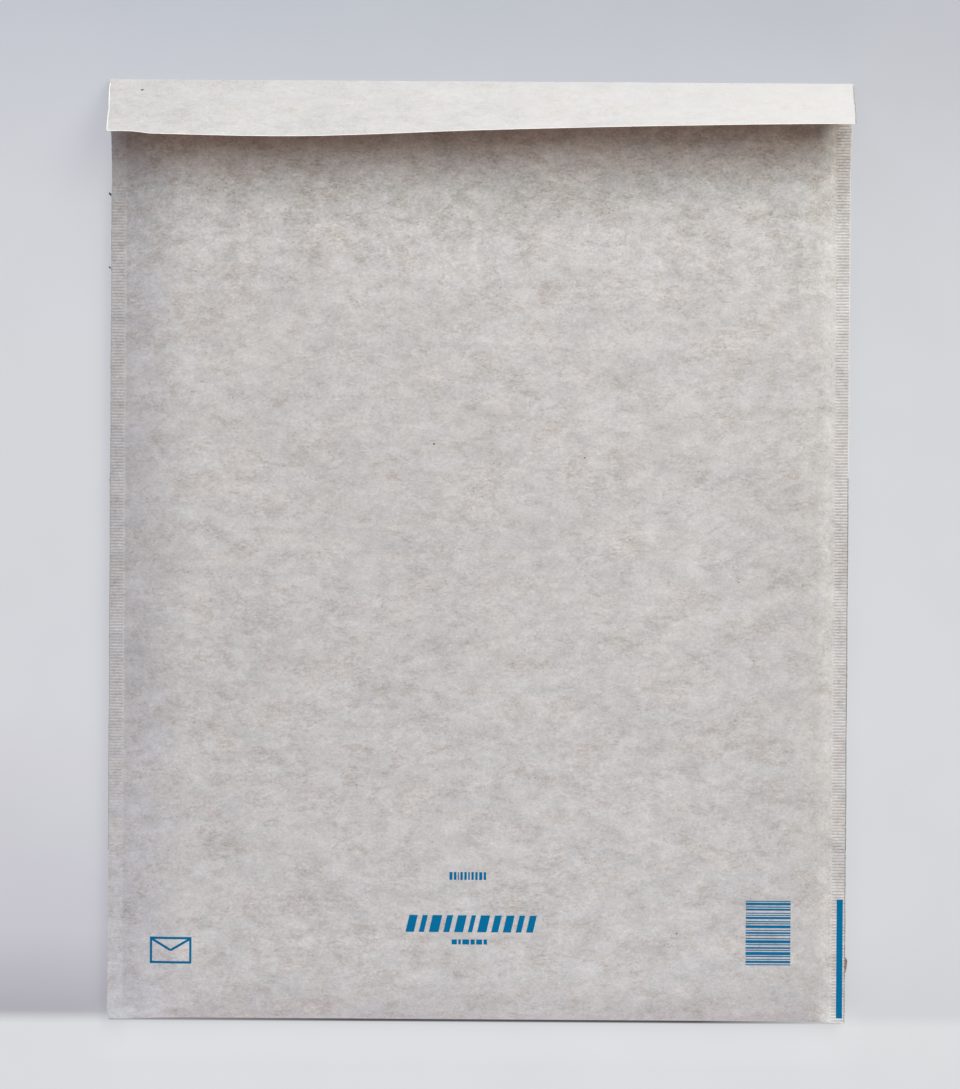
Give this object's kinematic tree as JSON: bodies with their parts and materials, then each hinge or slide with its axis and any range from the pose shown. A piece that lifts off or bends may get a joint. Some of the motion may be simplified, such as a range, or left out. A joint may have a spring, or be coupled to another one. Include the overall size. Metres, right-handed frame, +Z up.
{
  "type": "padded envelope",
  "caption": "Large padded paper mailing envelope lying on its back, with crimped side seals, a bubble lining and an unsealed flap folded forward over its mouth.",
  "frame": {"origin": "on the ground under the middle of the outline, the envelope lying on its back", "axes": "+Y from the bottom fold to the flap's crease, +X to the right of someone who looks down on the front, +Z up out of the front panel"},
  "size_m": [0.37, 0.468, 0.0433],
  "materials": {
    "recycled_paper": "matt mottled light grey recycled paper",
    "bubble_film": "clear cushioning film",
    "adhesive": "clear straw-coloured pressure adhesive",
    "release_paper": "smooth silicone-coated light brown paper"
  },
  "bodies": {
    "root": {"paper_envelope": "recycled_paper", "bubble_lining": "bubble_film", "adhesive_strip": "adhesive", "release_liner": "release_paper"}
  },
  "joints": []
}
